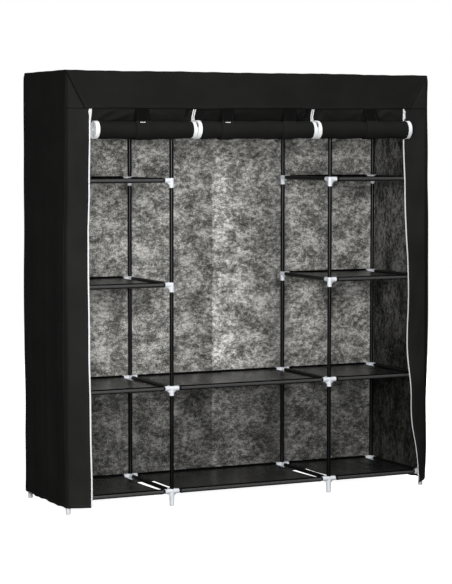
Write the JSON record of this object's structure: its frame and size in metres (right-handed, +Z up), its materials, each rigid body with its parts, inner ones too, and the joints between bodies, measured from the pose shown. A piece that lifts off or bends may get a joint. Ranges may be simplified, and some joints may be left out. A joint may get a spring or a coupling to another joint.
{
  "type": "portable fabric wardrobe",
  "caption": "Free-standing wardrobe: plug-together tube frame on short feet, sleeved cloth shelves, a hanging bay, and a sewn cloth cover with roll-up front doors.",
  "frame": {"origin": "on the floor, under the middle of the whole wardrobe's box, with its front flange and rolled doors", "axes": "+X to the right seen from the front, +Y from the doors to the back, +Z up"},
  "size_m": [1.5442, 0.497, 1.6263],
  "materials": {
    "upright": "satin black tube with pale moulded plastic connectors",
    "tube": "satin black coating",
    "connector": "pale grey moulded plastic",
    "shelf_cloth": "black non-woven cloth with a slight gloss",
    "cover_cloth": "matt black non-woven cloth",
    "back_cloth": "mottled grey non-woven cloth",
    "zip": "white zip tape and teeth"
  },
  "bodies": {
    "wardrobe": {"upright_front_left_outer": "upright", "upright_rear_left_outer": "upright", "upright_front_left_inner": "upright", "upright_rear_left_inner": "upright", "upright_front_right_inner": "upright", "upright_rear_right_inner": "upright", "upright_front_right_outer": "upright", "upright_rear_right_outer": "upright", "depth_tube_left_outer_1": "tube", "depth_tube_left_outer_2": "tube", "depth_tube_left_outer_3": "tube", "depth_tube_left_outer_4": "tube", "depth_tube_left_outer_5": "tube", "depth_tube_left_inner_1": "tube", "depth_tube_left_inner_2": "tube", "depth_tube_left_inner_3": "tube", "depth_tube_left_inner_4": "tube", "depth_tube_left_inner_5": "tube", "depth_tube_right_inner_1": "tube", "depth_tube_right_inner_2": "tube", "depth_tube_right_inner_3": "tube", "depth_tube_right_inner_4": "tube", "depth_tube_right_inner_5": "tube", "depth_tube_right_outer_1": "tube", "depth_tube_right_outer_2": "tube", "depth_tube_right_outer_3": "tube", "depth_tube_right_outer_4": "tube", "depth_tube_right_outer_5": "tube", "top_rail_front_left": "tube", "top_rail_rear_left": "tube", "top_rail_front_centre": "tube", "top_rail_rear_centre": "tube", "top_rail_front_right": "tube", "top_rail_rear_right": "tube", "hanging_rail": "tube", "shelf_left_1": "shelf_cloth", "shelf_left_2": "shelf_cloth", "shelf_left_3": "shelf_cloth", "shelf_left_4": "shelf_cloth", "shelf_centre_1": "shelf_cloth", "shelf_centre_2": "shelf_cloth", "shelf_right_1": "shelf_cloth", "shelf_right_2": "shelf_cloth", "shelf_right_3": "shelf_cloth", "shelf_right_4": "shelf_cloth", "cover_back": "back_cloth", "cover_left_side": "cover_cloth", "cover_right_side": "cover_cloth", "cover_top": "cover_cloth", "cover_header": "cover_cloth", "front_flange_left": "cover_cloth", "front_flange_right": "cover_cloth", "zip_left": "zip", "zip_right": "zip", "door_curtain_left": "cover_cloth", "door_curtain_centre": "cover_cloth", "door_curtain_right": "cover_cloth"},
    "left_door": {"door_roll_left": "cover_cloth"},
    "centre_door": {"door_roll_centre": "cover_cloth"},
    "right_door": {"door_roll_right": "cover_cloth"}
  },
  "joints": [
    {"name": "left_door_unroll", "type": "slide", "parent": "wardrobe", "child": "left_door", "axis": [0, 0, -1], "range_m": [0, 1.345], "deforming": ["door_curtain_left"]},
    {"name": "centre_door_unroll", "type": "slide", "parent": "wardrobe", "child": "centre_door", "axis": [0, 0, -1], "range_m": [0, 1.345], "deforming": ["door_curtain_centre"]},
    {"name": "right_door_unroll", "type": "slide", "parent": "wardrobe", "child": "right_door", "axis": [0, 0, -1], "range_m": [0, 1.345], "deforming": ["door_curtain_right"]}
  ]
}
